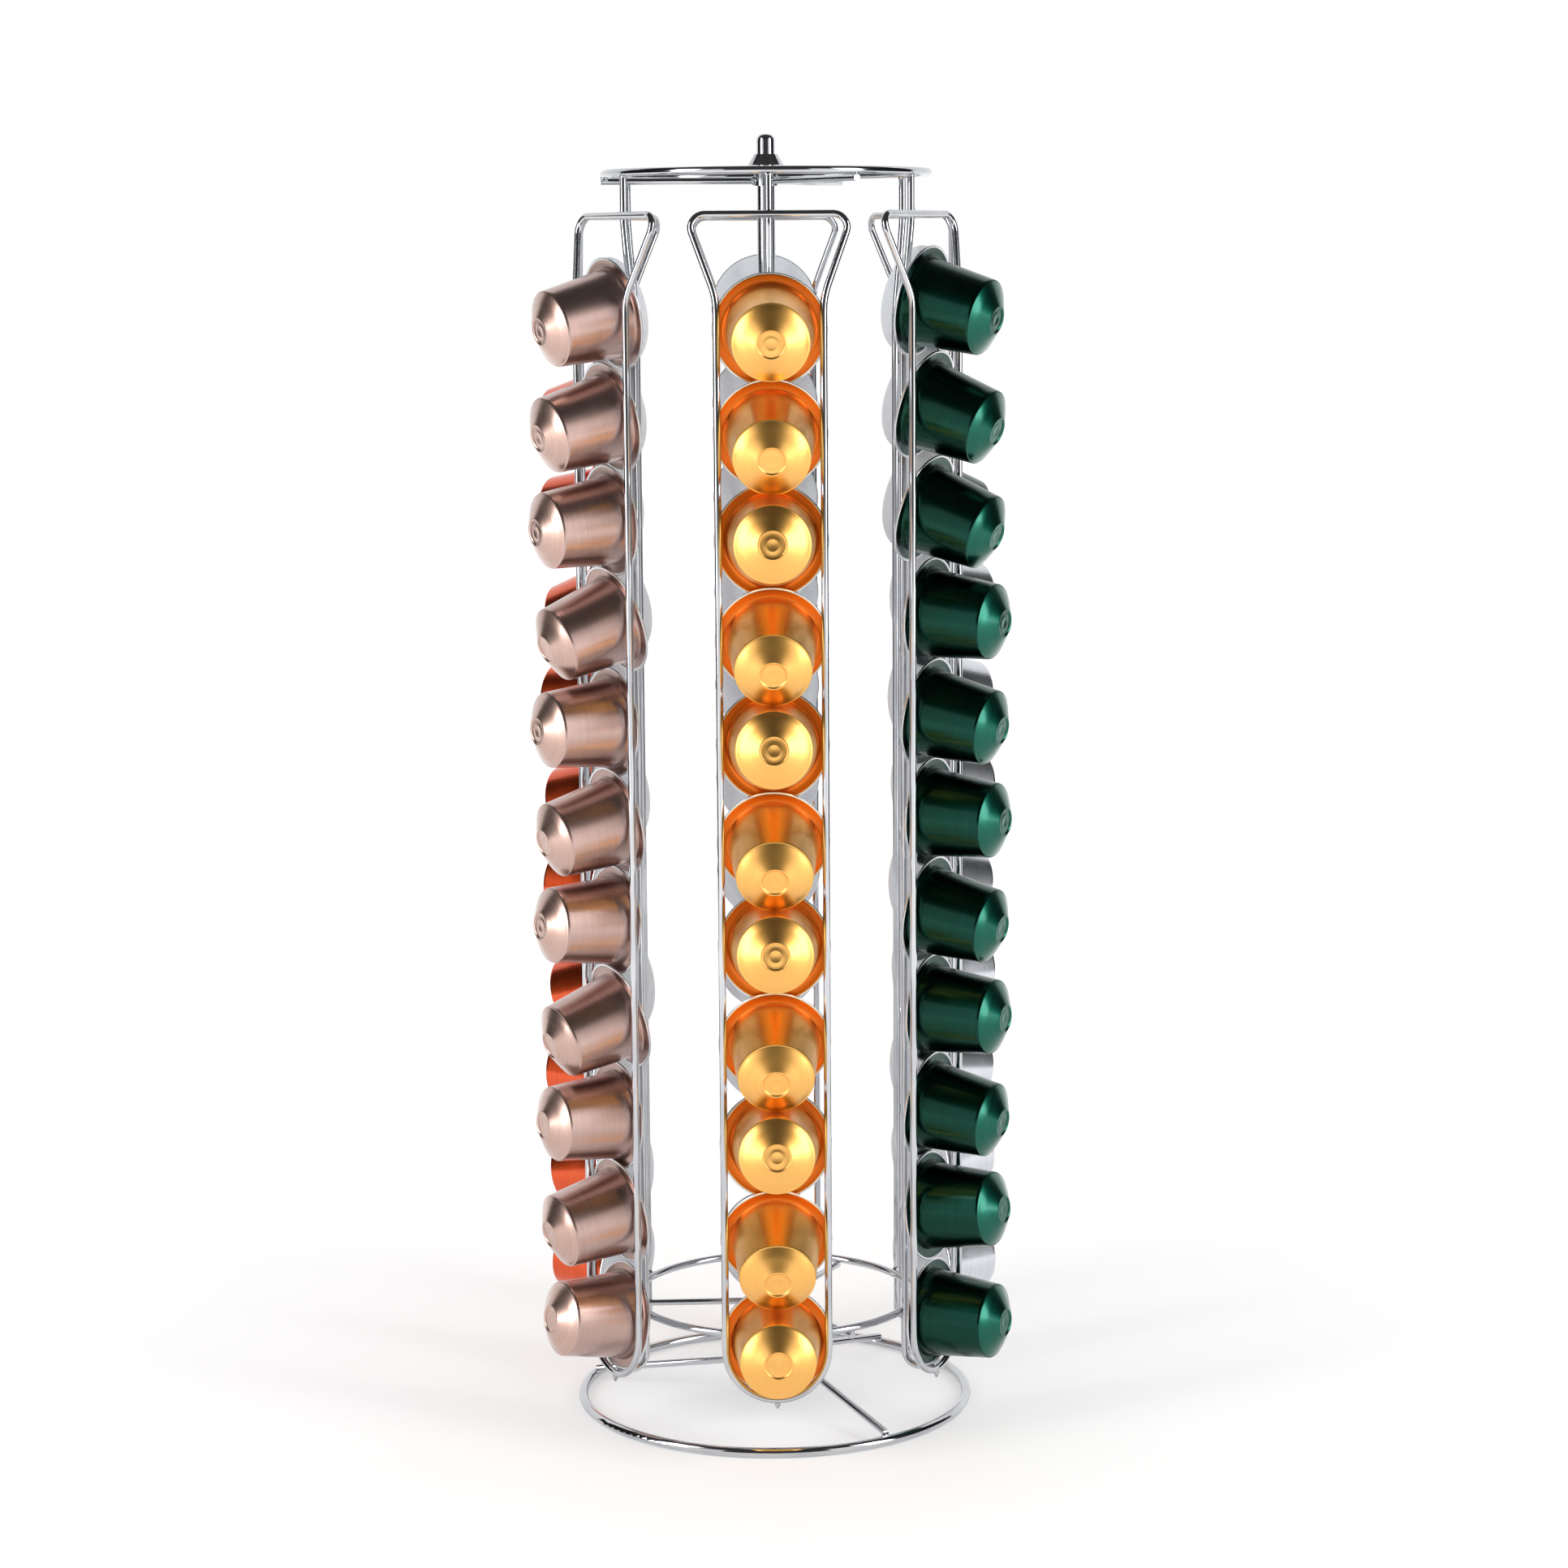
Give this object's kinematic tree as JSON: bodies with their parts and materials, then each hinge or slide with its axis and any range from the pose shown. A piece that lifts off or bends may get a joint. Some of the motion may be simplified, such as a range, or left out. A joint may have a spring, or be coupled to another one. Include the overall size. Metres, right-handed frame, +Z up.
{
  "type": "coffee capsule dispenser",
  "caption": "Free-standing wire carousel for single-serve coffee capsules: a ring base and centre post carry a turning cage of upright columns, each with a wide mouth at the top",
  "frame": {"origin": "on the table, at the centre of the base ring, under the post", "axes": "+Z up along the post; -Y out of the front column; +X to the right as seen from the front"},
  "size_m": [0.16, 0.179, 0.4352],
  "materials": {
    "chrome_wire": "mirror bright",
    "washer_plastic": "matte",
    "capsule_gold": "anodised, satin",
    "capsule_copper": "anodised, satin",
    "capsule_green": "anodised, satin",
    "capsule_red": "anodised, satin",
    "capsule_silver": "bare, satin",
    "lid_foil": "bright foil"
  },
  "bodies": {
    "stand": {"base_ring": "chrome_wire", "stop_collar": "chrome_wire", "centre_post": "chrome_wire", "thrust_washer": "washer_plastic", "retaining_collar": "chrome_wire", "base_leg_left": "chrome_wire", "base_leg_front_right": "chrome_wire", "base_leg_rear_right": "chrome_wire"},
    "cage": {"top_ring": "chrome_wire", "top_hub": "chrome_wire", "lower_ring": "chrome_wire", "lower_hub": "chrome_wire", "top_spoke_left": "chrome_wire", "top_spoke_front_right": "chrome_wire", "top_spoke_rear_right": "chrome_wire", "lower_spoke_left": "chrome_wire", "lower_spoke_front_right": "chrome_wire", "lower_spoke_rear_right": "chrome_wire", "back_wire_front": "chrome_wire", "back_wire_front_right": "chrome_wire", "back_wire_rear_right": "chrome_wire", "back_wire_rear": "chrome_wire", "back_wire_rear_left": "chrome_wire", "back_wire_front_left": "chrome_wire", "front_loop_front": "chrome_wire", "front_loop_front_right": "chrome_wire", "front_loop_rear_right": "chrome_wire", "front_loop_rear": "chrome_wire", "front_loop_rear_left": "chrome_wire", "front_loop_front_left": "chrome_wire", "capsules_front": "capsule_gold", "capsules_front_right": "capsule_green", "capsules_rear_right": "capsule_silver", "capsules_rear": "capsule_gold", "capsules_rear_left": "capsule_red", "capsules_front_left": "capsule_copper", "lids_front": "lid_foil", "lids_front_right": "lid_foil", "lids_rear_right": "lid_foil", "lids_rear": "lid_foil", "lids_rear_left": "lid_foil", "lids_front_left": "lid_foil", "upper_capsules_rear_right": "capsule_green"},
    "front_lift_capsule": {"top_capsule_front": "capsule_gold", "top_lid_front": "lid_foil"},
    "front_right_lift_capsule": {"top_capsule_front_right": "capsule_green", "top_lid_front_right": "lid_foil"},
    "rear_right_lift_capsule": {"top_capsule_rear_right": "capsule_green", "top_lid_rear_right": "lid_foil"},
    "rear_lift_capsule": {"top_capsule_rear": "capsule_gold", "top_lid_rear": "lid_foil"},
    "rear_left_lift_capsule": {"top_capsule_rear_left": "capsule_copper", "top_lid_rear_left": "lid_foil"},
    "front_left_lift_capsule": {"top_capsule_front_left": "capsule_copper", "top_lid_front_left": "lid_foil"}
  },
  "joints": [
    {"name": "cage_spin", "type": "hinge", "parent": "stand", "child": "cage", "pos_m": [0, 0, 0.2], "axis": [0, 0, 1], "continuous": true},
    {"name": "front_capsule_lift", "type": "slide", "parent": "cage", "child": "front_lift_capsule", "axis": [0, 0, 1], "range_m": [0, 0.012]},
    {"name": "front_right_capsule_lift", "type": "slide", "parent": "cage", "child": "front_right_lift_capsule", "axis": [0, 0, 1], "range_m": [0, 0.012]},
    {"name": "rear_right_capsule_lift", "type": "slide", "parent": "cage", "child": "rear_right_lift_capsule", "axis": [0, 0, 1], "range_m": [0, 0.012]},
    {"name": "rear_capsule_lift", "type": "slide", "parent": "cage", "child": "rear_lift_capsule", "axis": [0, 0, 1], "range_m": [0, 0.012]},
    {"name": "rear_left_capsule_lift", "type": "slide", "parent": "cage", "child": "rear_left_lift_capsule", "axis": [0, 0, 1], "range_m": [0, 0.012]},
    {"name": "front_left_capsule_lift", "type": "slide", "parent": "cage", "child": "front_left_lift_capsule", "axis": [0, 0, 1], "range_m": [0, 0.012]}
  ]
}
